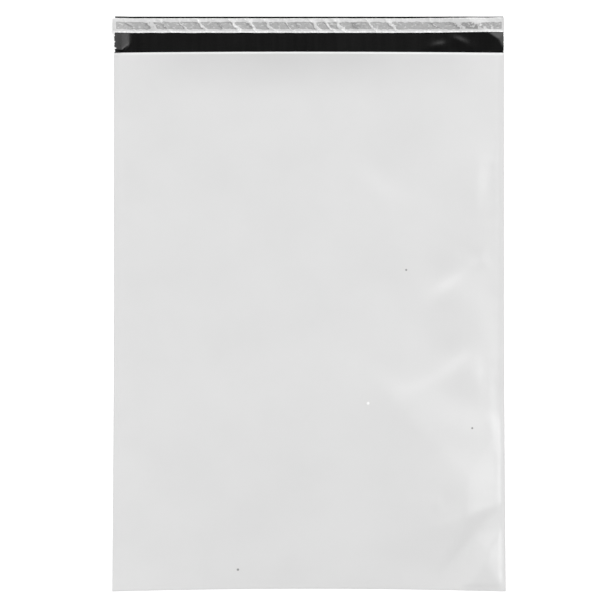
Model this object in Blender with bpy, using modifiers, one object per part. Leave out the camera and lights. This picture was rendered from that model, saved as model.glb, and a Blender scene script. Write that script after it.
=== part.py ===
"""A large mailing bag of opaque film, empty and lying flat on its back panel.

One sheet of film, white outside and black inside, is folded up at the bottom and welded along
both sides by a hot knife. The back panel runs on past the mouth as a lip. The lip carries a
strip of adhesive under a release liner. The mouth faces +Y and the front panel is up.
The origin is on the ground under the middle of the bag. Lengths are in metres.
"""

import math

import bmesh
import bpy

# The bag's outline
BAG_WIDTH = 0.430  # across the mouth
POCKET_LENGTH = 0.594  # from the bottom corners to the front panel's free edge
LIP_LENGTH = 0.040  # how far the back panel runs past the front panel
BOTTOM_FLARE = 0.002  # what each side gains in width at the bottom fold
FLARE_REACH = 0.320  # how far up from the fold the flare dies away
FLARE_POWER = 1.5  # how much of the flare is kept for the bottom corners
FOLD_BOW = 0.003  # how far the middle of the bottom fold is drawn in

# The film and its welds
FILM = 0.00006  # thickness of the sheet
PRESSED_GAP = 0.0001  # between the two panels where the bag is pressed flat
WELD_RADIUS = 0.0002  # the bead that the hot knife leaves along each side
WELD_OVERRUN = 0.0003  # what the bead runs past the fold and past the mouth
WELD_LIFT = 0.00001  # the bead stays this far off the ground, so the back panel bears the bag
NICK_PITCH = 0.0034  # the melted nicks along the lip's two cut ends
NICK_DEPTH = 0.0011
NICK_BEAT = 0.0091  # the length over which the nicks grow deeper and shallower
NICK_SWING = 0.4  # the share of their depth that comes and goes over that length

# How the front panel stands off the back panel
POCKET_GAPE = 0.0082  # in the middle of the pocket
MOUTH_GAPE = 0.0126  # in the middle of the front panel's free edge
MOUTH_RUN = 0.048  # how far down from the mouth the extra gape dies away
MOUTH_SKEW = 0.4  # how much the extra gape leans to the left
FOLD_RUN = 0.240  # how far up from the fold the pocket comes to its full gape
SEAM_FLAT = 0.005  # how wide the two panels lie flat together beside each weld
BUCKLE_FADE = 0.014  # how far in from the welds a buckle grows to its full height
BUCKLE_ROOM = 0.002  # the gape at which a buckle reaches its full height
PUFF_FADE = 0.008  # how far in from the welds and the fold a puff grows to its full height
PUFF_SOFTNESS = 0.00022  # how much of a puff's height its ridges are rounded over

# Soft buckles of the front panel, each a slope that faces 90 degrees on from its length:
# x, y, turn of its length from +X in degrees, half length, half width, height
BUCKLES = (
    (0.078, 0.132, -48.0, 0.032, 0.021, 0.0016),
    (0.197, 0.135, -100.0, 0.032, 0.018, 0.0014),
    (0.152, 0.022, 40.0, 0.025, 0.013, 0.0021),
    (0.162, -0.064, 46.0, 0.023, 0.015, 0.0026),
    (0.126, -0.086, 24.0, 0.024, 0.013, 0.0009),
    (0.190, -0.040, 90.0, 0.026, 0.010, 0.0005),
    (0.176, -0.152, 180.0, 0.030, 0.022, 0.0011),
)

# Two puffs by the lower right corner, each the lowest of some planes:
# x and y of a point at each plane's foot, its uphill turn from +X in degrees, its slope
PUFFS = (
    (
        (0.2150, -0.2100, 180.0, 0.110),
        (0.0640, -0.2100, 0.0, 0.042),
        (0.2150, -0.2190, 139.0, 0.205),
        (0.2150, -0.1250, 250.0, 0.058),
        (0.1390, -0.3060, 65.0, 0.054),
    ),
    (
        (0.2165, -0.2850, 180.0, 0.130),
        (0.1750, -0.2850, 345.0, 0.130),
        (0.2150, -0.2450, 290.0, 0.120),
        (0.2000, -0.3190, 95.0, 0.085),
    ),
)

# The adhesive on the lip's black face, and the liner over it
SEAT_GAP = 0.0003  # clearance between pieces that lie on each other
ADHESIVE_WIDTH = 0.0075
ADHESIVE_THICKNESS = 0.00015
ADHESIVE_END = 0.0020  # from each end of the lip
LINER_WIDTH = 0.0160
LINER_THICKNESS = 0.00005
LINER_MARGIN = 0.0021  # from the lip's free edge to the liner
LINER_OVERHANG = 0.0015  # what the liner runs past the lip's left end

# Slanting wrinkles of the liner: distance from its left end, half width, height
WRINKLES = (
    (0.018, 0.0020, 0.0004),
    (0.046, 0.0040, 0.0006),
    (0.077, 0.0028, 0.0005),
    (0.101, 0.0032, 0.0009),
    (0.131, 0.0030, 0.0008),
    (0.152, 0.0034, 0.0009),
    (0.174, 0.0026, 0.0006),
    (0.201, 0.0030, 0.0006),
    (0.222, 0.0030, 0.0009),
    (0.238, 0.0026, 0.0007),
    (0.252, 0.0036, 0.0009),
    (0.286, 0.0030, 0.0009),
    (0.308, 0.0034, 0.0008),
    (0.353, 0.0030, 0.0005),
    (0.390, 0.0036, 0.0007),
)
WRINKLE_SLANT = 0.9  # sideways travel of a wrinkle for each unit down the liner

# Fineness of the meshes
SHEET_COLUMNS = 44
BACK_ROWS = 26
FRONT_ROWS = 42
FOLD_STEPS = 4
STEPS_PER_NICK = 4
BEAD_POINTS = 24
LINER_COLUMNS = 144
LINER_ROWS = 6

# Base colour and roughness
WHITE_FILM = ((0.74, 0.74, 0.74, 1.0), 0.38)
BLACK_FILM = ((0.012, 0.012, 0.012, 1.0), 0.34)
ADHESIVE = ((0.42, 0.42, 0.41, 1.0), 0.30)
LINER = ((0.66, 0.66, 0.66, 1.0), 0.40)

FOLD_Y = -(POCKET_LENGTH + LIP_LENGTH) / 2
MOUTH_Y = FOLD_Y + POCKET_LENGTH
LIP_Y = MOUTH_Y + LIP_LENGTH
LINER_Y = LIP_Y - LINER_MARGIN - LINER_WIDTH / 2


def clear_scene():
    for obj in list(bpy.data.objects):
        bpy.data.objects.remove(obj, do_unlink=True)


def new_material(name, finish):
    colour, roughness = finish
    material = bpy.data.materials.new(name)
    material.use_nodes = True
    shader = material.node_tree.nodes["Principled BSDF"]
    shader.inputs["Base Color"].default_value = colour
    shader.inputs["Roughness"].default_value = roughness
    shader.inputs["Metallic"].default_value = 0.0
    return material


def new_collection(name, shown=True):
    collection = bpy.data.collections.new(name)
    collection.hide_render = not shown
    bpy.context.scene.collection.children.link(collection)
    return collection


def add_object(name, data, collection, *materials):
    obj = bpy.data.objects.new(name, data)
    for material in materials:
        data.materials.append(material)
    collection.objects.link(obj)
    return obj


def grid_mesh(name, columns, rows, place):
    """A grid of columns by rows faces.

    place(across, row) gives each vertex its point, for across from -1 to 1 and row from 0 up.
    """
    bm = bmesh.new()
    bmesh.ops.create_grid(bm, x_segments=columns, y_segments=rows, size=1.0)
    for vertex in bm.verts:
        vertex.co = place(vertex.co.x, round((vertex.co.y + 1) / 2 * rows))
    mesh = bpy.data.meshes.new(name)
    bm.to_mesh(mesh)
    bm.free()
    mesh.shade_smooth()
    return mesh


def thicken(obj, thickness):
    """Turns an open sheet into a solid that stands up from the sheet, or out from a fold."""
    shell = obj.modifiers.new("thickness", "SOLIDIFY")
    shell.thickness = thickness
    shell.offset = 1.0
    shell.use_even_offset = True
    return shell


def smooth(share):
    """Eases from 0 to 1 as share does."""
    share = min(1.0, max(0.0, share))
    return share * share * (3 - 2 * share)


def half_width(y):
    """Half of the bag's width at y, out to the far side of the weld."""
    share = max(0.0, 1 - (y - FOLD_Y) / FLARE_REACH)
    return BAG_WIDTH / 2 + BOTTOM_FLARE * share**FLARE_POWER


def nick(y):
    """How deep the hot knife's nicks are at y along the lip's ends."""
    up = y - MOUTH_Y
    depth = NICK_DEPTH * (1 - NICK_SWING + NICK_SWING * math.sin(2 * math.pi * up / NICK_BEAT))
    return depth * abs(math.sin(math.pi * up / NICK_PITCH))


def sheet_edge(y):
    """Half of the sheet's own width at y, without the bead of the weld."""
    cut = nick(y) if y > MOUTH_Y else 0.0
    return half_width(y) - WELD_RADIUS - cut


def fold_y(across):
    """Where the inside of the bottom fold lies, for across from -1 at one weld to 1 at the other."""
    return FOLD_Y + FILM + PRESSED_GAP / 2 + FOLD_BOW * (1 - across * across)


def turned(x, y, centre_x, centre_y, turn):
    """The distances along a line through the centre and aside of it."""
    angle = math.radians(turn)
    along = (x - centre_x) * math.cos(angle) + (y - centre_y) * math.sin(angle)
    aside = (y - centre_y) * math.cos(angle) - (x - centre_x) * math.sin(angle)
    return along, aside


def buckles(x, y):
    height = 0.0
    for centre_x, centre_y, turn, half_length, half_breadth, rise in BUCKLES:
        along, aside = turned(x, y, centre_x, centre_y, turn)
        share = aside / half_breadth
        height -= rise * share / (1 + share**2) * math.exp(-((along / half_length) ** 2))
    return height


def puff(x, y, planes):
    """The height of the lowest plane, with rounded ridges and no less than 0."""
    total = 0.0
    for foot_x, foot_y, turn, slope in planes:
        uphill = turned(x, y, foot_x, foot_y, turn)[0]
        total += math.exp(-slope * uphill / PUFF_SOFTNESS)
    return PUFF_SOFTNESS * math.log1p(1 / total)


def gape(x, y, across):
    """How far the front panel stands off the back panel."""
    from_fold = max(0.0, y - fold_y(across))
    from_mouth = MOUTH_Y - y
    inside = sheet_edge(y)
    from_weld = inside * (1 - abs(across))
    outward = min(1.0, 1 - (from_weld - SEAM_FLAT) / (inside - SEAM_FLAT))
    pillow = POCKET_GAPE * (1 - max(0.0, 1 - from_fold / FOLD_RUN) ** 2)
    mouth = (MOUTH_GAPE - POCKET_GAPE) * max(0.0, 1 - from_mouth / MOUTH_RUN) ** 2
    pillow = (pillow + mouth * (1 - MOUTH_SKEW * across)) * (1 - outward**2)
    rise = sum(puff(x, y, planes) for planes in PUFFS)
    pillow += rise * smooth(from_weld / PUFF_FADE) * smooth(from_fold / PUFF_FADE)
    fade = smooth(from_weld / BUCKLE_FADE) * smooth(pillow / BUCKLE_ROOM)
    return PRESSED_GAP + pillow + buckles(x, y) * fade


def sheet_rows():
    """The sheet's rows from the lip's free edge, down the back, round the fold and up the front."""
    lip_rows = round(LIP_LENGTH / NICK_PITCH * STEPS_PER_NICK)
    rows = [("lip", 1 - row / lip_rows) for row in range(lip_rows)]
    back = [1 - math.cos(math.pi / 2 * row / BACK_ROWS) for row in range(BACK_ROWS + 1)]
    rows += [("back", share) for share in reversed(back)]
    rows += [("fold", step / FOLD_STEPS) for step in range(1, FOLD_STEPS)]
    rows += [("front", row / FRONT_ROWS) for row in range(FRONT_ROWS + 1)]
    return rows


def sheet_point(across, row):
    """A point of the sheet's black side."""
    part, share = row
    bottom = fold_y(across)
    if part == "lip":
        y = MOUTH_Y + share * LIP_LENGTH
        return across * sheet_edge(y), y, FILM
    if part == "fold":
        turn = math.pi * share
        y = bottom - PRESSED_GAP / 2 * math.sin(turn)
        return across * sheet_edge(y), y, FILM + PRESSED_GAP / 2 * (1 - math.cos(turn))
    y = bottom + share * (MOUTH_Y - bottom)
    x = across * sheet_edge(y)
    return x, y, FILM + (gape(x, y, across) if part == "front" else 0.0)


def weld_bead(name, side, collection, material):
    """The round bead that joins the two panels along one side, as a closed mesh."""
    curve = bpy.data.curves.new(name, "CURVE")
    curve.dimensions = "3D"
    curve.bevel_depth = WELD_RADIUS
    curve.bevel_resolution = 1
    curve.use_fill_caps = True
    spline = curve.splines.new("POLY")
    spline.points.add(BEAD_POINTS)
    start = FOLD_Y - WELD_OVERRUN
    end = MOUTH_Y + WELD_OVERRUN
    for number, point in enumerate(spline.points):
        y = start + (end - start) * number / BEAD_POINTS
        point.co = (side * (half_width(y) - WELD_RADIUS), y, WELD_RADIUS + WELD_LIFT, 1.0)
    source = add_object(name + "_curve", curve, collection)
    bpy.context.view_layer.update()
    graph = bpy.context.evaluated_depsgraph_get()
    mesh = bpy.data.meshes.new_from_object(source.evaluated_get(graph))
    bm = bmesh.new()
    bm.from_mesh(mesh)
    bmesh.ops.remove_doubles(bm, verts=bm.verts, dist=WELD_RADIUS / 100)
    bmesh.ops.recalc_face_normals(bm, faces=bm.faces)
    bm.to_mesh(mesh)
    bm.free()
    bead = add_object(name, mesh, collection, material)
    bead.matrix_world = source.matrix_world
    bpy.data.objects.remove(source)
    bead.hide_render = True
    bead.display_type = "WIRE"
    return bead


def bag_film(welds, collection, white, black):
    """The folded sheet with its welded sides: the whole bag but for what lies on its lip."""
    rows = sheet_rows()

    def place(across, number):
        # The columns crowd towards the welds, where the front panel bends most.
        return sheet_point(math.sin(math.pi / 2 * across), rows[number])

    mesh = grid_mesh("bag_film", SHEET_COLUMNS, len(rows) - 1, place)
    film = add_object("bag_film", mesh, collection, white, black)
    shell = thicken(film, FILM)
    shell.material_offset = 1
    for bead in welds:
        join = film.modifiers.new(bead.name, "BOOLEAN")
        join.operation = "UNION"
        join.object = bead
    return film


def adhesive_strip(collection, material):
    """The run of hot-melt adhesive on the lip's black face."""
    length = 2 * (sheet_edge(LIP_Y) - ADHESIVE_END)
    bm = bmesh.new()
    bmesh.ops.create_cube(bm, size=1.0)
    bmesh.ops.scale(bm, verts=bm.verts, vec=(length, ADHESIVE_WIDTH, ADHESIVE_THICKNESS))
    mesh = bpy.data.meshes.new("adhesive_strip")
    bm.to_mesh(mesh)
    bm.free()
    strip = add_object("adhesive_strip", mesh, collection, material)
    strip.location = (0.0, LINER_Y, FILM + SEAT_GAP + ADHESIVE_THICKNESS / 2)
    return strip


def release_liner(collection, material):
    """The thin wrinkled strip that covers the adhesive until the bag is closed."""
    left = -BAG_WIDTH / 2 - LINER_OVERHANG
    length = BAG_WIDTH / 2 - left

    def place(across, row):
        from_left = (across + 1) / 2 * length
        x = left + from_left
        y = LINER_Y + (row / LINER_ROWS - 0.5) * LINER_WIDTH
        z = FILM + SEAT_GAP + ADHESIVE_THICKNESS + SEAT_GAP
        for centre, breadth, height in WRINKLES:
            aside = from_left - centre + WRINKLE_SLANT * (y - LINER_Y)
            z += height * math.exp(-((aside / breadth) ** 2))
        return x, y, z

    mesh = grid_mesh("release_liner", LINER_COLUMNS, LINER_ROWS, place)
    liner = add_object("release_liner", mesh, collection, material)
    thicken(liner, LINER_THICKNESS)
    return liner


def main():
    clear_scene()
    parts = new_collection("poly_bag")
    helpers = new_collection("poly_bag_helpers", shown=False)
    white = new_material("white film", WHITE_FILM)
    black = new_material("black film", BLACK_FILM)
    welds = (
        weld_bead("left_weld", -1, helpers, white),
        weld_bead("right_weld", 1, helpers, white),
    )
    bag_film(welds, parts, white, black)
    adhesive_strip(parts, new_material("adhesive", ADHESIVE))
    release_liner(parts, new_material("release liner", LINER))


main()
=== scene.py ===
"""The looks of an empty poly mailing bag that lies flat on its back, seen from straight above."""

import math

import bmesh
import bpy
import numpy as np
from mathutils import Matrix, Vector, noise


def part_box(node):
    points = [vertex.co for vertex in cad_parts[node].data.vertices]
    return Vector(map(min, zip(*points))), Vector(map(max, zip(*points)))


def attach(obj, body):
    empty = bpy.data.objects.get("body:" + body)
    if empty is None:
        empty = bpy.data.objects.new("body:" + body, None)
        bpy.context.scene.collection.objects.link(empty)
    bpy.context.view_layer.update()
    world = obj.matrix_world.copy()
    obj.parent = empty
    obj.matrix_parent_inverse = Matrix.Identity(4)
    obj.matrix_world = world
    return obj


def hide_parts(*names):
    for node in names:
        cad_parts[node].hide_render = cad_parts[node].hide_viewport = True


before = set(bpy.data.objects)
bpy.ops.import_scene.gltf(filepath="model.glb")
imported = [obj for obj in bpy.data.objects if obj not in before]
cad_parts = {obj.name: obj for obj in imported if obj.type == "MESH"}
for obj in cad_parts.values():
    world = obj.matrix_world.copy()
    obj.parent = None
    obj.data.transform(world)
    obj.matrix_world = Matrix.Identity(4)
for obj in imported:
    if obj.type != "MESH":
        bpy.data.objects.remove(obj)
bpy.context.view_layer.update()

# Places from the frame, in metres
film_low, film_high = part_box("bag_film")
glue_low, glue_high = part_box("adhesive_strip")
liner_low, liner_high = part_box("release_liner")

# The photograph's framing
METRES_PER_PIXEL = 0.430 / 390
BAG_CENTRE_PX = (309.0, 304.0)
FRAME_PX = 600.0
CAMERA_HEIGHT = 3.2
CLIP_END = 50.0
SENSOR_MM = 36.0

# The floor, whose glow only the camera and reflections see
FLOOR_SIZE = 12.0
FLOOR_DROP = 0.0002  # how far it lies under the bag
FLOOR_GREY = 0.7
FLOOR_GLOW = 0.5
FLOOR_ROUGHNESS = 0.9

# The film and its welds
FILM = 0.00006  # thickness of the sheet
PRESSED_GAP = 0.0001  # between the two panels where the bag is pressed flat
WELD_RADIUS = 0.0002  # the bead that the hot knife leaves along each side
WELD_OVERRUN = 0.0003  # what the bead runs past the fold and past the mouth
WELD_BLOB_PITCH = 0.0016  # the length over which the bead's radius changes
WELD_BLOB_SHARE = 0.3  # how much the bead's radius swells and shrinks

# The bag's outline
LIP_LENGTH = 0.040
BOTTOM_FLARE = 0.002  # what each side gains in width at the bottom fold
FLARE_REACH = 0.320  # how far up from the fold the flare dies away
FLARE_POWER = 1.5  # how much of the flare is kept for the bottom corners
FOLD_BOW = 0.003  # how far the middle of the bottom fold is drawn in
HALF_MOUTH = film_high.x - BOTTOM_FLARE
FOLD_Y = film_low.y + WELD_OVERRUN
LIP_Y = film_high.y
MOUTH_Y = LIP_Y - LIP_LENGTH
NICK_PITCH = 0.0034  # the melted nicks along the lip's two cut ends
NICK_DEPTHS = (0.0014, 0.0005)  # on the left and on the right
NICK_BEAT = 0.0091  # the length over which the nicks grow deeper and shallower
NICK_SWING = 0.4  # the share of their depth that comes and goes over that length
NOTCH = (0.2818, 0.0010, 0.0022)  # the deepest one on the left: its y, half height and depth

# How the front panel stands off the back panel
POCKET_GAPE = 0.0082  # in the middle of the pocket
MOUTH_GAPE = 0.0126  # in the middle of the front panel's free edge
MOUTH_RUN = 0.048  # how far down from the mouth the extra gape dies away
FOLD_RUN = 0.240  # how far up from the fold the pocket comes to its full gape
MOUTH_SKEW = 0.4  # how much the extra gape leans to the left
SEAM_FLAT = 0.005  # how wide the two panels lie flat together beside each weld
BUCKLE_FADE = 0.014  # how far in from the welds a buckle grows to its full height

# Soft buckles of the front panel, each a slope that faces 90 degrees on from its length:
# x, y, turn of its length from +X in degrees, half length, half width, height
BUCKLES = (
    (0.078, 0.132, -48.0, 0.032, 0.021, 0.0016),
    (0.197, 0.135, -100.0, 0.032, 0.018, 0.0014),
    (0.152, 0.022, 40.0, 0.025, 0.013, 0.0021),
    (0.187, 0.050, 60.0, 0.008, 0.006, 0.0007),
    (0.162, -0.064, 46.0, 0.023, 0.015, 0.0026),
    (0.126, -0.086, 24.0, 0.024, 0.013, 0.0009),
    (0.1985, -0.085, 90.0, 0.048, 0.0095, 0.0007),
    (0.166, -0.149, 168.0, 0.040, 0.025, 0.0015),
    (0.1455, -0.218, -90.0, 0.009, 0.0045, 0.0007),
    (0.156, -0.236, 24.0, 0.018, 0.007, 0.0005),
    (-0.180, 0.099, 0.0, 0.030, 0.020, 0.0004),
    (0.056, 0.035, 180.0, 0.060, 0.030, 0.0005),
    (-0.190, -0.262, 180.0, 0.014, 0.012, 0.0003),
)
BUCKLE_ROOM = 0.002  # the gape at which a buckle reaches its full height

# Two puffs by the lower right corner, each the lowest of some planes:
# x and y of a point at each plane's foot, its uphill turn from +X in degrees, its slope
PUFFS = (
    (
        (0.2150, -0.2100, 180.0, 0.110),
        (0.0640, -0.2100, 0.0, 0.042),
        (0.2150, -0.2190, 139.0, 0.205),
        (0.2150, -0.1250, 250.0, 0.058),
        (0.1390, -0.3060, 65.0, 0.054),
    ),
    (
        (0.2165, -0.2850, 180.0, 0.130),
        (0.1750, -0.2850, 345.0, 0.130),
        (0.2150, -0.2450, 290.0, 0.120),
        (0.2000, -0.3190, 95.0, 0.085),
    ),
)
PUFF_FADE = 0.008  # how far in from the welds and the fold a puff grows to its full height
PUFF_SOFTNESS = 0.00022  # how much of a puff's height its ridges are rounded over
EXPONENT_LIMIT = 60.0  # keeps the exponentials of the puffs' planes in range

# The front panel's faint waves and the puckers along its welds
WAVE_SPAN = 0.070
WAVE_HEIGHT = 0.00035
PUCKER_PITCH = 0.013
PUCKER_REACH = 0.012
PUCKER_HEIGHT = 0.0004
PUCKER_DRAW = 0.3  # how fast a pucker changes along x, as a share of how fast it does along y

# The lip's turned-up left end: a point of its crease, the crease's turn from +X in degrees,
# and the turn of the line that cuts off its lower corner
LEFT_CREASE = (-0.1963, 0.2867, 90.0)
LEFT_CUT = (-0.1963, 0.2867, 45.0)
CUT_WIDTH = 0.002  # over what width the lip comes back down at that line
LEFT_SLOPE = 0.193

# The ridge across the lip's right corner: the lines that bend round it, in the same terms,
# the slope and the length of the rise up to it, and the slope down to the corner
RIGHT_CREASES = (
    (0.1985, 0.2988, -33.7),
    (0.2139, 0.2823, -60.9),
)
RISE_SLOPE = 0.040
RISE_LENGTH = 0.030
FALL_SLOPE = 0.128
BEND_SOFTNESS = 0.0015  # half the width over which a crease bends
BEND_FADE = 0.003  # how far up from the mouth the lip's forms grow to their full height

# Ridges of the lip: x, y, turn from +X in degrees, half length, half width, height
LIP_RIDGES = (
    (0.1665, 0.2885, -26.0, 0.014, 0.0055, 0.00066),
    (0.1444, 0.2845, 15.0, 0.012, 0.0050, 0.00046),
    (-0.2045, 0.2870, 90.0, 0.014, 0.0065, 0.00008),
)

# The band of adhesive and the liner's lie on it
GLUE_Y = (glue_low.y + glue_high.y) / 2
GLUE_HALF = (glue_high.y - glue_low.y) / 2
GLUE_CLEARANCE = 0.00002  # under the band and over it, so that no two faces share a plane
GLUE_WAVER = 0.0003  # how far the band's edges wander
GLUE_SPAN = 0.024  # the length over which they do
GLUE_EDGE = 0.00002  # the band's thickness at its very edges
GLUE_SQUARENESS = 6  # the power that keeps its top level almost up to them
LINER_HALF = (liner_high.y - liner_low.y) / 2
LINER_Y = (liner_low.y + liner_high.y) / 2
LINER_THICKNESS = 0.00005
LINER_SKEW = (0.100, 0.0010)  # the x from which the liner strays up the lip, and how far it gets
LINER_DROOP = 0.00014  # how far the liner sinks beside the band
DROOP_REACH = 0.003
LINER_CURL = (0.0009, -0.0002)  # rise of its lower and its upper edge
CURL_REACH = 0.0030
CURL_SPAN = 0.03
CURL_SHARES = (0.75, 0.5)  # the curl's mean share along the liner, and how far the share wanders
EDGE_HIGHLIGHT_WIDTHS = (0.0011, 0.0007)  # width of the painted highlight line along its lower and its upper edge
EDGE_HIGHLIGHT_SHARES = (0.7, 0.6)  # the painted highlight's mean strength, and how far that wanders
EDGE_WAVER = 0.0003
EDGE_SPAN = 0.02
DRY_LEVEL = 0.35  # the wetness of liner that touches nothing and isn't under a painted highlight
CRINKLE_SPAN = 0.004
CRINKLE_HEIGHT = 0.00005

# Where the liner lifts off the adhesive in slanting channels, in the photograph's pixels:
# the channel's x on the band's middle, its half width, how clear it is, and its ridge in metres
LIFTS_PX = (
    (130.0, 1.3, 0.50, 0.00030),
    (152.0, 4.6, 0.85, 0.00035),
    (164.0, 1.6, 0.50, 0.00040),
    (183.0, 2.0, 0.75, 0.00035),
    (202.0, 2.4, 1.00, 0.00055),
    (220.5, 2.2, 0.60, 0.00025),
    (235.0, 2.8, 1.00, 0.00055),
    (252.0, 2.6, 1.00, 0.00060),
    (269.0, 2.4, 0.80, 0.00045),
    (288.5, 1.8, 0.75, 0.00030),
    (297.0, 1.2, 0.50, 0.00020),
    (315.5, 1.9, 0.90, 0.00050),
    (329.0, 1.8, 1.00, 0.00055),
    (339.5, 2.6, 1.00, 0.00055),
    (356.0, 4.5, 0.45, 0.00015),
    (372.0, 1.9, 0.90, 0.00055),
    (392.0, 2.2, 1.00, 0.00055),
    (434.5, 1.8, 0.60, 0.00030),
    (459.0, 5.0, 0.75, 0.00020),
    (477.0, 13.0, 0.60, 0.00020),
)
LIFT_SLANT = 0.9  # sideways travel of a channel for each unit down the liner
LIFT_WARP = 0.0032  # how far a channel strays from its straight line
LIFT_UNHIGHLIGHTED = 0.00035  # a ridge up to this height gets no painted highlight
LIFT_FULL_HIGHLIGHT = 0.00055  # a ridge of this height gets the full painted highlight, as pale as the liner gets
CREST_HIGHLIGHT_SHARES = (0.8, 0.8)  # the mean strength of the painted highlight along a ridge, and how far that wanders
CREST_HIGHLIGHT_OFFSET = 0.3  # how far that painted highlight lies off the ridge's middle, in half widths of the channel
CREST_HIGHLIGHT_NARROWING = 2.0  # how much narrower the painted highlight is than the channel
WARP_SPAN = 0.006
WET_EDGE = 0.0013  # over what width contact with the band gives way to air
WET_WAVER = 0.0009  # how far the edge of that contact wanders

# Specks of dirt on the front panel, in the photograph's pixels: x, y, radius, shade
SPECKS_PX = (
    (406.0, 270.0, 1.3, 0.30),
    (472.0, 428.0, 1.3, 0.28),
    (238.0, 569.5, 1.5, 0.26),
    (368.0, 403.0, 1.8, 0.98),
)

# Where in the noise each waver is read
SEEDS = {
    "waves": 3.0,
    "glue": 5.0,
    "puckers": 8.0,
    "liner edges": 11.0,
    "curl": 20.0,
    "crinkles": 30.0,
    "channels": 40.0,
    "edge highlights": 60.0,
    "crest highlights": 70.0,
    "contact": 90.0,
}

# Noise in the materials: the values that it mostly stays between, by how fine it is
NOISE_RANGE = (0.3, 0.7)
FINE_NOISE_RANGE = (0.35, 0.65)
NOISE_DETAIL = 3.0
MOTTLE_DETAIL = 5.0
PLASTIC_IOR = 1.5

# Each film's range of roughness and of grey, and how fine its mottle is
WHITE_LOOK = ((0.18, 0.24), (0.728, 0.752), 14.0)
BLACK_LOOK = ((0.14, 0.18), (0.004, 0.006), 30.0)
DRAW_LINES = (260.0, 5.0, 9.0)  # how fine the film's draw lines are along x, y and z
FILM_GRAIN = 420.0
FILM_BUMP = 0.00003
SPECK_CORE = 0.5  # the share of a speck's radius that it covers fully

WELD_ROUGHNESS = 0.30
WELD_FLECKS = 900.0
WELD_GREYS = (0.74, 0.58)
WELD_BUMP = 0.00005

GLUE_IOR = 1.48
GLUE_ROUGHNESS = 0.12
GLUE_DRAW = (60.0, 900.0, 1.0)  # how fine its streaks are along x, y and z
GLUE_GREYS = (0.30, 0.40)
GLUE_BUMP = 0.00008

LINER_ROUGHNESS = 0.26
LINER_GRAIN = 420.0
LINER_BUMP = 0.00004
CONTACT_RAGGED = 0.13  # how far the grain takes the contact with the band up or down
BLISTERS = (260.0, 520.0, 1.0)  # how fine the small blisters are along x, y and z
BLISTER_EDGE = (0.57, 0.66)
BLISTER_COVER = 0.8
BLISTER_GREY = 0.64

# The liner's grey by its wetness, from a painted highlight on a ridge or edge through dry liner to
# the middle of the contact
LINER_GREYS_AND_HIGHLIGHTS = (
    (0.06, 0.92),
    (0.26, 0.64),
    (0.56, 0.60),
    (0.67, 0.26),
    (0.80, 0.32),
    (0.97, 0.42),
)

# The light: a dome that leans to the photograph's top, dark straight above, with soft lamps in it
DOME_LEVEL = 0.660  # its strength at right angles to the lean
DOME_LEAN = (-0.02, 1.00, 0.0)
DOME_RANGE = (0.03, 1.00)  # the dome is never darker or brighter than this
ZENITH_LEVEL = 0.05
ZENITH_EDGE = (8.0, 22.0)  # degrees from straight above, where the dark ends and the dome begins

# Each lamp's direction, its inner and outer half angle in degrees, and its strength
LAMPS = (
    ((0.156, 0.581, 0.799), (20.0, 27.0), 3.0),
    ((0.548, 0.070, 0.833), (13.0, 17.0), 3.2),
    ((-0.559, 0.070, 0.826), (13.0, 17.0), 2.4),
)

# Fineness of the meshes
SHEET_COLUMNS = 130
FRONT_ROWS = 230
BACK_ROWS = 30
FOLD_STEPS = 6
LIP_ROWS = 66
LINER_COLUMNS = 780
LINER_ROWS = 30
GLUE_COLUMNS = 300
GLUE_ROWS = 8
WELD_POINTS = 420
WELD_BEVEL_STEPS = 2
MERGE_DISTANCE = 0.000001


# Materials

def grey(level):
    return (level, level, level, 1.0)


def new_material(name, inputs):
    material = bpy.data.materials.new(name)
    material.use_nodes = True
    tree = material.node_tree
    shader = tree.nodes["Principled BSDF"]
    for key, value in inputs.items():
        shader.inputs[key].default_value = value
    return material, tree, shader


def add_node(tree, kind, inputs=None, **settings):
    """A new node with its settings, and with its inputs set to numbers or linked to sockets."""
    made = tree.nodes.new(kind)
    for name, value in settings.items():
        setattr(made, name, value)
    for name, value in (inputs or {}).items():
        if isinstance(value, bpy.types.NodeSocket):
            tree.links.new(value, made.inputs[name])
        else:
            made.inputs[name].default_value = value
    return made


def noise_value(tree, place, scale, detail=2.0, stretch=(1.0, 1.0, 1.0)):
    factors = {0: place, 1: stretch}
    stretched = add_node(tree, "ShaderNodeVectorMath", factors, operation="MULTIPLY")
    inputs = {"Vector": stretched.outputs[0], "Scale": scale, "Detail": detail}
    return add_node(tree, "ShaderNodeTexNoise", inputs).outputs["Fac"]


def in_range(tree, value, low, high, bottom, top):
    """value taken from low..high to bottom..top."""
    inputs = {"Value": value, "From Min": low, "From Max": high, "To Min": bottom, "To Max": top}
    return add_node(tree, "ShaderNodeMapRange", inputs).outputs["Result"]


def mixed(tree, factor, a, b):
    return add_node(tree, "ShaderNodeMix", {"Factor": factor, "A": a, "B": b}).outputs["Result"]


def bumped(tree, shader, height, distance):
    bump = add_node(tree, "ShaderNodeBump", {"Height": height, "Distance": distance})
    tree.links.new(bump.outputs["Normal"], shader.inputs["Normal"])


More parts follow.
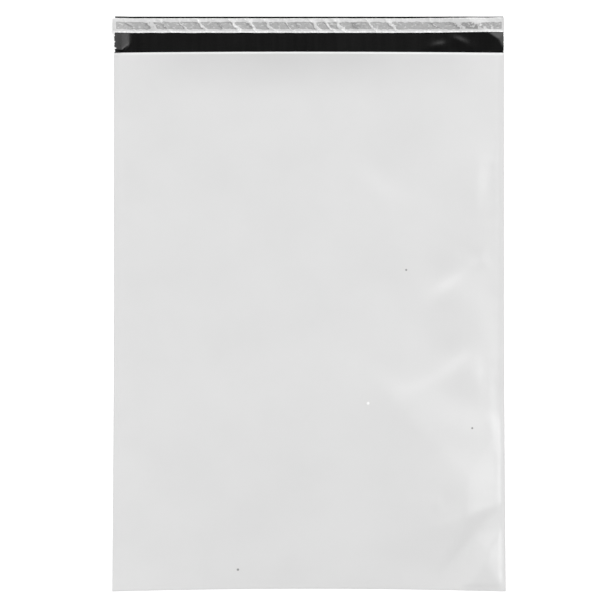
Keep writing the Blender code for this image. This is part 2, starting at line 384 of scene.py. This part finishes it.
def film_finish(name, look, specks=()):
    """Blown film with its draw lines and grain, and with specks of dirt on the front panel.

    The attribute film_place is the point on the sheet: x, y, and 0 on the lip and the back
    panel or 1 on the front panel.
    """
    roughness, greys, mottle = look
    material, tree, shader = new_material(name, {"IOR": PLASTIC_IOR})
    place = add_node(tree, "ShaderNodeAttribute", attribute_name="film_place").outputs["Vector"]
    lines = noise_value(tree, place, 1.0, NOISE_DETAIL, DRAW_LINES)
    grain = noise_value(tree, place, FILM_GRAIN)
    rough = in_range(tree, lines, *NOISE_RANGE, *roughness)
    tree.links.new(rough, shader.inputs["Roughness"])
    bumped(tree, shader, mixed(tree, 0.5, lines, grain), FILM_BUMP)
    mottled = noise_value(tree, place, mottle, MOTTLE_DETAIL)
    shade = in_range(tree, mottled, *NOISE_RANGE, *greys)
    for px, py, radius, dirt in specks:
        spot = (x_at(px), y_at(py), 1.0)
        away = add_node(tree, "ShaderNodeVectorMath", {0: place, 1: spot}, operation="DISTANCE")
        reach = radius * METRES_PER_PIXEL
        cover = in_range(tree, away.outputs["Value"], SPECK_CORE * reach, reach, 1.0, 0.0)
        shade = mixed(tree, cover, shade, dirt)
    tree.links.new(shade, shader.inputs["Base Color"])
    return material


def weld_finish():
    """Film that the hot knife has fused, white with grey flecks of the inner layer."""
    inputs = {"Roughness": WELD_ROUGHNESS, "IOR": PLASTIC_IOR}
    material, tree, shader = new_material("fused_film", inputs)
    place = add_node(tree, "ShaderNodeTexCoord").outputs["Object"]
    fleck = noise_value(tree, place, WELD_FLECKS, NOISE_DETAIL)
    shade = in_range(tree, fleck, *FINE_NOISE_RANGE, *WELD_GREYS)
    tree.links.new(shade, shader.inputs["Base Color"])
    bumped(tree, shader, fleck, WELD_BUMP)
    return material


def glue_finish():
    """Clear hot-melt adhesive, drawn out along the lip, as it looks over black film."""
    inputs = {"Roughness": GLUE_ROUGHNESS, "IOR": GLUE_IOR}
    material, tree, shader = new_material("adhesive", inputs)
    place = add_node(tree, "ShaderNodeTexCoord").outputs["Object"]
    drawn = noise_value(tree, place, 1.0, NOISE_DETAIL, GLUE_DRAW)
    shade = in_range(tree, drawn, *NOISE_RANGE, *GLUE_GREYS)
    tree.links.new(shade, shader.inputs["Base Color"])
    bumped(tree, shader, drawn, GLUE_BUMP)
    return material


def liner_finish():
    """Thin translucent liner: grey with dark rims on the adhesive, paler off it, and with painted
    highlights on its ridges and along its edges.
    """
    inputs = {"Roughness": LINER_ROUGHNESS, "IOR": PLASTIC_IOR}
    material, tree, shader = new_material("liner", inputs)
    place = add_node(tree, "ShaderNodeTexCoord").outputs["Object"]
    wet = add_node(tree, "ShaderNodeAttribute", attribute_name="wet").outputs["Fac"]
    ragged = noise_value(tree, place, LINER_GRAIN, NOISE_DETAIL)
    shift = in_range(tree, ragged, *FINE_NOISE_RANGE, -CONTACT_RAGGED, CONTACT_RAGGED)
    # the attribute carries both the contact with the band and the painted highlights, which sit
    # below the dry level
    contact = add_node(tree, "ShaderNodeMath", {0: wet, 1: shift}).outputs[0]
    stages = add_node(tree, "ShaderNodeValToRGB", {"Fac": contact})
    stops = stages.color_ramp.elements
    for wetness, level in LINER_GREYS_AND_HIGHLIGHTS:
        stops.new(wetness).color = grey(level)
    stops.remove(stops[0])
    stops.remove(stops[-1])
    blister = noise_value(tree, place, 1.0, stretch=BLISTERS)
    cover = in_range(tree, blister, *BLISTER_EDGE, 0.0, BLISTER_COVER)
    shade = mixed(tree, cover, stages.outputs["Color"], BLISTER_GREY)
    tree.links.new(shade, shader.inputs["Base Color"])
    bumped(tree, shader, ragged, LINER_BUMP)
    return material


# Forms

def x_at(px):
    return (px - BAG_CENTRE_PX[0]) * METRES_PER_PIXEL


def y_at(px):
    return (BAG_CENTRE_PX[1] - px) * METRES_PER_PIXEL


def smooth(share):
    share = np.clip(share, 0.0, 1.0)
    return share * share * (3 - 2 * share)


def wander(x, y, span, seed):
    """Smooth noise from -1 to 1 that changes over about one span."""
    pairs = zip((x / span).ravel(), (y / span).ravel())
    values = [noise.noise(Vector((u, v, seed))) for u, v in pairs]
    return np.reshape(values, x.shape)


def varied(shares, x, y, span, seed):
    """A share that wanders about its mean."""
    mean, swing = shares
    return mean + swing * wander(x, y, span, seed)


def half_width(y):
    share = np.clip(1 - (y - FOLD_Y) / FLARE_REACH, 0.0, None)
    return HALF_MOUTH + BOTTOM_FLARE * share**FLARE_POWER


def nick(y, side):
    """How deep the torn end of the lip is notched; side is -1 or 1."""
    up = y - MOUTH_Y
    beat = np.sin(2 * np.pi * up / NICK_BEAT)
    depth = np.where(side < 0, *NICK_DEPTHS) * (1 - NICK_SWING + NICK_SWING * beat)
    depth *= np.abs(np.sin(np.pi * up / NICK_PITCH))
    notch_y, half_height, deepest = NOTCH
    depth += np.where(side < 0, deepest, 0.0) * np.exp(-(((y - notch_y) / half_height) ** 2))
    return np.where(up > 0, depth, 0.0)


def sheet_x(y, across):
    return across * (half_width(y) - WELD_RADIUS - nick(y, across))


def fold_y(across):
    return FOLD_Y + FILM + PRESSED_GAP / 2 + FOLD_BOW * (1 - across * across)


def turned(x, y, centre_x, centre_y, turn):
    """The distances along a line through the centre and aside of it."""
    angle = math.radians(turn)
    along = (x - centre_x) * math.cos(angle) + (y - centre_y) * math.sin(angle)
    aside = (y - centre_y) * math.cos(angle) - (x - centre_x) * math.sin(angle)
    return along, aside


def buckled(x, y, rows):
    height = np.zeros_like(x)
    for centre_x, centre_y, turn, half_length, half_breadth, rise in rows:
        along, aside = turned(x, y, centre_x, centre_y, turn)
        share = aside / half_breadth
        height -= rise * share / (1 + share**2) * np.exp(-((along / half_length) ** 2))
    return height


def puff(x, y, planes):
    """The height of the lowest plane, with rounded ridges and no less than 0."""
    total = np.zeros_like(x)
    for foot_x, foot_y, turn, slope in planes:
        uphill = turned(x, y, foot_x, foot_y, turn)[0]
        share = np.clip(-slope * uphill / PUFF_SOFTNESS, -EXPONENT_LIMIT, EXPONENT_LIMIT)
        total += np.exp(share)
    return PUFF_SOFTNESS * np.log1p(1 / total)


def gape(x, y, across):
    """The front panel's height over the back panel."""
    from_fold = y - fold_y(across)
    from_mouth = MOUTH_Y - y
    from_weld = half_width(y) * (1 - np.abs(across))
    pillow = POCKET_GAPE * (1 - np.clip(1 - from_fold / FOLD_RUN, 0.0, None) ** 2)
    mouth = (MOUTH_GAPE - POCKET_GAPE) * np.clip(1 - from_mouth / MOUTH_RUN, 0.0, None) ** 2
    outward = np.clip(1 - (from_weld - SEAM_FLAT) / (half_width(y) - SEAM_FLAT), 0.0, 1.0)
    pillow = (pillow + mouth * (1 - MOUTH_SKEW * across)) * (1 - outward**2)
    rise = sum(puff(x, y, planes) for planes in PUFFS)
    pillow += rise * smooth(from_weld / PUFF_FADE) * smooth(from_fold / PUFF_FADE)
    folds = buckled(x, y, BUCKLES) + WAVE_HEIGHT * wander(x, y, WAVE_SPAN, SEEDS["waves"])
    folds *= smooth(from_weld / BUCKLE_FADE) * smooth(pillow / BUCKLE_ROOM)
    pull = np.exp(-from_weld / PUCKER_REACH) * smooth(from_weld / PUCKER_REACH)
    pull *= smooth(from_fold / BUCKLE_FADE)
    drawn = wander(x * PUCKER_DRAW, y, PUCKER_PITCH, SEEDS["puckers"])
    puckers = PUCKER_HEIGHT * pull * drawn
    return PRESSED_GAP + pillow + folds + puckers


def bent(past, slope):
    """The rise of a sheet that turns up by slope past a soft crease."""
    eased = np.clip(past + BEND_SOFTNESS, 0.0, None) ** 2 / (4 * BEND_SOFTNESS)
    return slope * np.where(past > BEND_SOFTNESS, past, eased)


def lip_rise(x, y):
    left = turned(x, y, *LEFT_CREASE)[1]
    right = np.max([turned(x, y, *crease)[1] for crease in RIGHT_CREASES], axis=0)
    rise = bent(left, LEFT_SLOPE) * smooth(turned(x, y, *LEFT_CUT)[1] / CUT_WIDTH)
    rise += bent(right + RISE_LENGTH, RISE_SLOPE) - bent(right, RISE_SLOPE + FALL_SLOPE)
    rise += bent(right - RISE_LENGTH * RISE_SLOPE / FALL_SLOPE, FALL_SLOPE)
    for centre_x, centre_y, turn, half_length, half_breadth, height in LIP_RIDGES:
        along, aside = turned(x, y, centre_x, centre_y, turn)
        rise += height * np.exp(-((along / half_length) ** 2) - (aside / half_breadth) ** 2)
    return rise * smooth((y - MOUTH_Y) / BEND_FADE)


def grid_mesh(name, points, **values):
    """A grid of quads through points, an array [row, column, xyz], with its point attributes."""
    rows, columns = points.shape[0], points.shape[1]
    corner = np.arange(rows * columns).reshape(rows, columns)
    quads = np.stack((corner[:-1, :-1], corner[:-1, 1:], corner[1:, 1:], corner[1:, :-1]), axis=-1)
    mesh = bpy.data.meshes.new(name)
    mesh.from_pydata(points.reshape(-1, 3).tolist(), [], quads.reshape(-1, 4).tolist())
    for key, value in values.items():
        kind, field = ("FLOAT_VECTOR", "vector") if value.ndim == 3 else ("FLOAT", "value")
        attribute = mesh.attributes.new(key, kind, "POINT")
        attribute.data.foreach_set(field, value.astype(np.float32).ravel())
    mesh.shade_smooth()
    return mesh


def add_piece(name, data, replaced, slot, *materials):
    piece = bpy.data.objects.new(name, data)
    for material in materials:
        data.materials.append(material)
    bpy.context.scene.collection.objects.link(piece)
    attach(piece, "root")
    if replaced:
        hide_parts(replaced)
    return piece


def thicken(piece, thickness):
    shell = piece.modifiers.new("thickness", "SOLIDIFY")
    shell.thickness = thickness
    shell.offset = 1.0
    shell.use_even_offset = True
    return shell


def sheet_points():
    """The sheet's points, down the back and up the front, and each row's panel."""
    columns = np.sin(np.pi / 2 * np.linspace(-1, 1, SHEET_COLUMNS + 1))
    lip = np.linspace(1, 0, LIP_ROWS, endpoint=False)
    back = 1 - np.cos(np.pi / 2 * np.linspace(1, 0, BACK_ROWS + 1))
    fold = np.arange(1, FOLD_STEPS) / FOLD_STEPS
    front = np.linspace(0, 1, FRONT_ROWS + 1)
    rows = []
    for share in lip:
        y = np.full_like(columns, MOUTH_Y + share * LIP_LENGTH)
        x = sheet_x(y, columns)
        rows.append((x, y, FILM + lip_rise(x, y)))
    bottom = fold_y(columns)
    for share in back:
        y = bottom + share * (MOUTH_Y - bottom)
        rows.append((sheet_x(y, columns), y, np.full_like(columns, FILM)))
    for share in fold:
        turn = math.pi * share
        y = bottom - PRESSED_GAP / 2 * math.sin(turn)
        z = np.full_like(columns, FILM + PRESSED_GAP / 2 * (1 - math.cos(turn)))
        rows.append((sheet_x(y, columns), y, z))
    for share in front:
        y = bottom + share * (MOUTH_Y - bottom)
        x = sheet_x(y, columns)
        rows.append((x, y, FILM + gape(x, y, columns)))
    panel = np.concatenate((np.zeros(len(lip) + len(back)), fold, np.ones(len(front))))
    return np.array([np.stack(row, axis=-1) for row in rows]), panel


def make_weld(name, side, material):
    """The bead along one side, its radius uneven as the hot knife leaves it."""
    curve = bpy.data.curves.new(name, "CURVE")
    curve.dimensions = "3D"
    curve.bevel_depth = WELD_RADIUS
    curve.bevel_resolution = WELD_BEVEL_STEPS
    curve.use_fill_caps = True
    spline = curve.splines.new("POLY")
    spline.points.add(WELD_POINTS)
    y = np.linspace(FOLD_Y - WELD_OVERRUN, MOUTH_Y + WELD_OVERRUN, WELD_POINTS + 1)
    swell = 1 - WELD_BLOB_SHARE * (0.5 + 0.5 * wander(y, np.zeros_like(y), WELD_BLOB_PITCH, side))
    x = side * (half_width(y) - WELD_RADIUS)
    for point, place_x, place_y, share in zip(spline.points, x, y, swell):
        point.co = (place_x, place_y, FILM + WELD_RADIUS, 1.0)
        point.radius = share
    return add_piece(name, curve, None, "film", material)


def make_film(white, black, fused):
    points, panel = sheet_points()
    place = points.copy()
    place[:, :, 2] = panel[:, None]
    mesh = grid_mesh("mailer_film", points, film_place=place)
    film = add_piece("mailer_film", mesh, "bag_film", "film", white, black)
    shell = thicken(film, FILM)
    shell.material_offset = 1
    welds = [make_weld(f"{name}_weld", side, fused) for name, side in (("left", -1), ("right", 1))]


def make_glue(material):
    columns = np.linspace(-1, 1, GLUE_COLUMNS + 1)
    aside, across = np.meshgrid(np.linspace(-1, 1, GLUE_ROWS + 1), columns, indexing="ij")
    x = across * glue_high.x
    waver = GLUE_WAVER * wander(x, np.sign(aside), GLUE_SPAN, SEEDS["glue"])
    y = GLUE_Y + aside * (GLUE_HALF + waver)
    floor_z = FILM + GLUE_CLEARANCE + lip_rise(x, y)
    arch = np.sqrt(np.clip(1 - aside**GLUE_SQUARENESS, 0.0, None))
    crown = (glue_high.z - FILM - GLUE_CLEARANCE) * arch
    top = np.stack((x, y, floor_z + GLUE_EDGE + crown), axis=-1)
    bottom = np.stack((x, y, floor_z), axis=-1)[::-1]
    around = np.concatenate((top, bottom, top[:1]))
    mesh = grid_mesh("glue_band", around)
    add_piece("glue_band", mesh, "adhesive_strip", "adhesive", material)
    bm = bmesh.new()
    bm.from_mesh(mesh)
    bmesh.ops.remove_doubles(bm, verts=bm.verts, dist=MERGE_DISTANCE)
    bmesh.ops.holes_fill(bm, edges=bm.edges)
    bmesh.ops.recalc_face_normals(bm, faces=bm.faces)
    bm.to_mesh(mesh)
    bm.free()


def make_liner(material):
    along = np.linspace(liner_low.x, liner_high.x, LINER_COLUMNS + 1)
    x, aside = np.meshgrid(along, np.linspace(-LINER_HALF, LINER_HALF, LINER_ROWS + 1))
    level = np.zeros_like(x)
    waver = EDGE_WAVER * wander(x, np.sign(aside), EDGE_SPAN, SEEDS["liner edges"])
    skew_x, strayed = LINER_SKEW
    skew = strayed * smooth((x - skew_x) / (liner_high.x - skew_x))
    y = LINER_Y + aside + skew + waver * aside / LINER_HALF
    beside = np.abs(aside + skew) - GLUE_HALF
    z = glue_high.z + GLUE_CLEARANCE * 2 - LINER_DROOP * smooth(beside / DROOP_REACH)
    for edge, curl in zip((-1, 1), LINER_CURL):
        reach = np.clip(1 - (LINER_HALF - edge * aside) / CURL_REACH, 0.0, None)
        z += curl * reach**2 * varied(CURL_SHARES, x, level, CURL_SPAN, SEEDS["curl"] + edge)
    dry = beside + WET_WAVER * wander(x, np.sign(aside), WARP_SPAN, SEEDS["contact"])
    wet = smooth(-dry / WET_EDGE + 0.5) * smooth((glue_high.x - np.abs(x)) / WET_EDGE + 0.5)
    # Painted highlights: a pale line along each edge, standing in for the glint where the liner's
    # edges curl towards the lamps
    painted_highlight = np.zeros_like(x)
    for edge, breadth in zip((-1, 1), EDGE_HIGHLIGHT_WIDTHS):
        share = varied(EDGE_HIGHLIGHT_SHARES, x, level, EDGE_SPAN, SEEDS["edge highlights"] + edge)
        painted_highlight += share * np.exp(-(((LINER_HALF - edge * aside) / breadth) ** 2))
    stray = LIFT_WARP * wander(x, aside, WARP_SPAN, SEEDS["channels"])
    for px, half_px, clear, ridge in LIFTS_PX:
        off = (x - x_at(px) + LIFT_SLANT * aside + stray) / (half_px * METRES_PER_PIXEL)
        lift = np.exp(-(off**2))
        z += ridge * lift
        wet *= 1 - clear * lift
        # a painted highlight along each tall ridge, standing in for the ridge catching the lamps
        crest_highlight = np.clip((ridge - LIFT_UNHIGHLIGHTED) / (LIFT_FULL_HIGHLIGHT - LIFT_UNHIGHLIGHTED), 0.0, 1.0)
        crest_highlight *= varied(CREST_HIGHLIGHT_SHARES, x, aside, CRINKLE_SPAN, SEEDS["crest highlights"])
        line = np.exp(-((CREST_HIGHLIGHT_NARROWING * (off + CREST_HIGHLIGHT_OFFSET)) ** 2))
        painted_highlight = np.maximum(painted_highlight, crest_highlight * line)
    z += CRINKLE_HEIGHT * wander(x, y, CRINKLE_SPAN, SEEDS["crinkles"])
    points = np.stack((x, y, z + lip_rise(x, y)), axis=-1)
    # the painted highlights take the wetness below the dry level, to the palest greys
    wet = DRY_LEVEL + (1 - DRY_LEVEL) * wet - DRY_LEVEL * np.clip(painted_highlight, 0.0, 1.0)
    mesh = grid_mesh("liner_strip", points, wet=wet)
    liner = add_piece("liner_strip", mesh, "release_liner", "liner", material)
    thicken(liner, LINER_THICKNESS)


# Camera, floor and light

def make_camera():
    camera = bpy.data.cameras.new("camera")
    camera.sensor_width = SENSOR_MM
    camera.lens = SENSOR_MM * CAMERA_HEIGHT / (FRAME_PX * METRES_PER_PIXEL)
    camera.clip_end = CLIP_END
    holder = bpy.data.objects.new("camera", camera)
    holder.location = (x_at(FRAME_PX / 2), y_at(FRAME_PX / 2), CAMERA_HEIGHT)
    bpy.context.scene.collection.objects.link(holder)
    bpy.context.scene.camera = holder


def make_floor():
    bpy.ops.mesh.primitive_plane_add(size=FLOOR_SIZE, location=(0.0, 0.0, -FLOOR_DROP))
    floor = bpy.context.object
    floor.name = "floor"
    inputs = {
        "Roughness": FLOOR_ROUGHNESS,
        "IOR": PLASTIC_IOR,
        "Base Color": grey(FLOOR_GREY),
        "Emission Color": grey(FLOOR_GLOW),
    }
    material, tree, shader = new_material("floor", inputs)
    path = add_node(tree, "ShaderNodeLightPath").outputs
    seen = add_node(
        tree,
        "ShaderNodeMath",
        {0: path["Is Camera Ray"], 1: path["Is Glossy Ray"]},
        operation="MAXIMUM",
    )
    tree.links.new(seen.outputs[0], shader.inputs["Emission Strength"])
    floor.data.materials.append(material)


def dome_share(tree, view, direction, edge):
    """1 within edge's first angle of direction, 0 beyond its second, and smooth between."""
    facing = add_node(
        tree,
        "ShaderNodeVectorMath",
        {0: view, 1: Vector(direction).normalized()},
        operation="DOT_PRODUCT",
    )
    inner, outer = (math.cos(math.radians(angle)) for angle in edge)
    inputs = {"Value": facing.outputs["Value"], "From Min": outer, "From Max": inner}
    share = add_node(tree, "ShaderNodeMapRange", inputs, interpolation_type="SMOOTHSTEP")
    return share.outputs["Result"]


def make_world():
    world = bpy.data.worlds.new("world")
    bpy.context.scene.world = world
    world.use_nodes = True
    tree = world.node_tree
    background = tree.nodes["Background"]
    background.inputs["Color"].default_value = grey(1.0)
    view = add_node(tree, "ShaderNodeTexCoord").outputs["Generated"]
    lean = add_node(tree, "ShaderNodeVectorMath", {0: view, 1: DOME_LEAN}, operation="DOT_PRODUCT")
    dome = add_node(tree, "ShaderNodeMath", {0: lean.outputs["Value"], 1: DOME_LEVEL}).outputs[0]
    for limit, operation in zip(DOME_RANGE, ("MAXIMUM", "MINIMUM")):
        capped = add_node(tree, "ShaderNodeMath", {0: dome, 1: limit}, operation=operation)
        dome = capped.outputs[0]
    light = mixed(tree, dome_share(tree, view, (0.0, 0.0, 1.0), ZENITH_EDGE), dome, ZENITH_LEVEL)
    for direction, edge, strength in LAMPS:
        light = mixed(tree, dome_share(tree, view, direction, edge), light, strength)
    seen = add_node(tree, "ShaderNodeLightPath").outputs["Is Camera Ray"]
    tree.links.new(mixed(tree, seen, light, 1.0), background.inputs["Strength"])


make_camera()
make_floor()
make_world()
white_film = film_finish("white_film", WHITE_LOOK, SPECKS_PX)
black_film = film_finish("black_film", BLACK_LOOK)
make_film(white_film, black_film, weld_finish())
make_glue(glue_finish())
make_liner(liner_finish())
bpy.context.scene.view_settings.view_transform = "Standard"
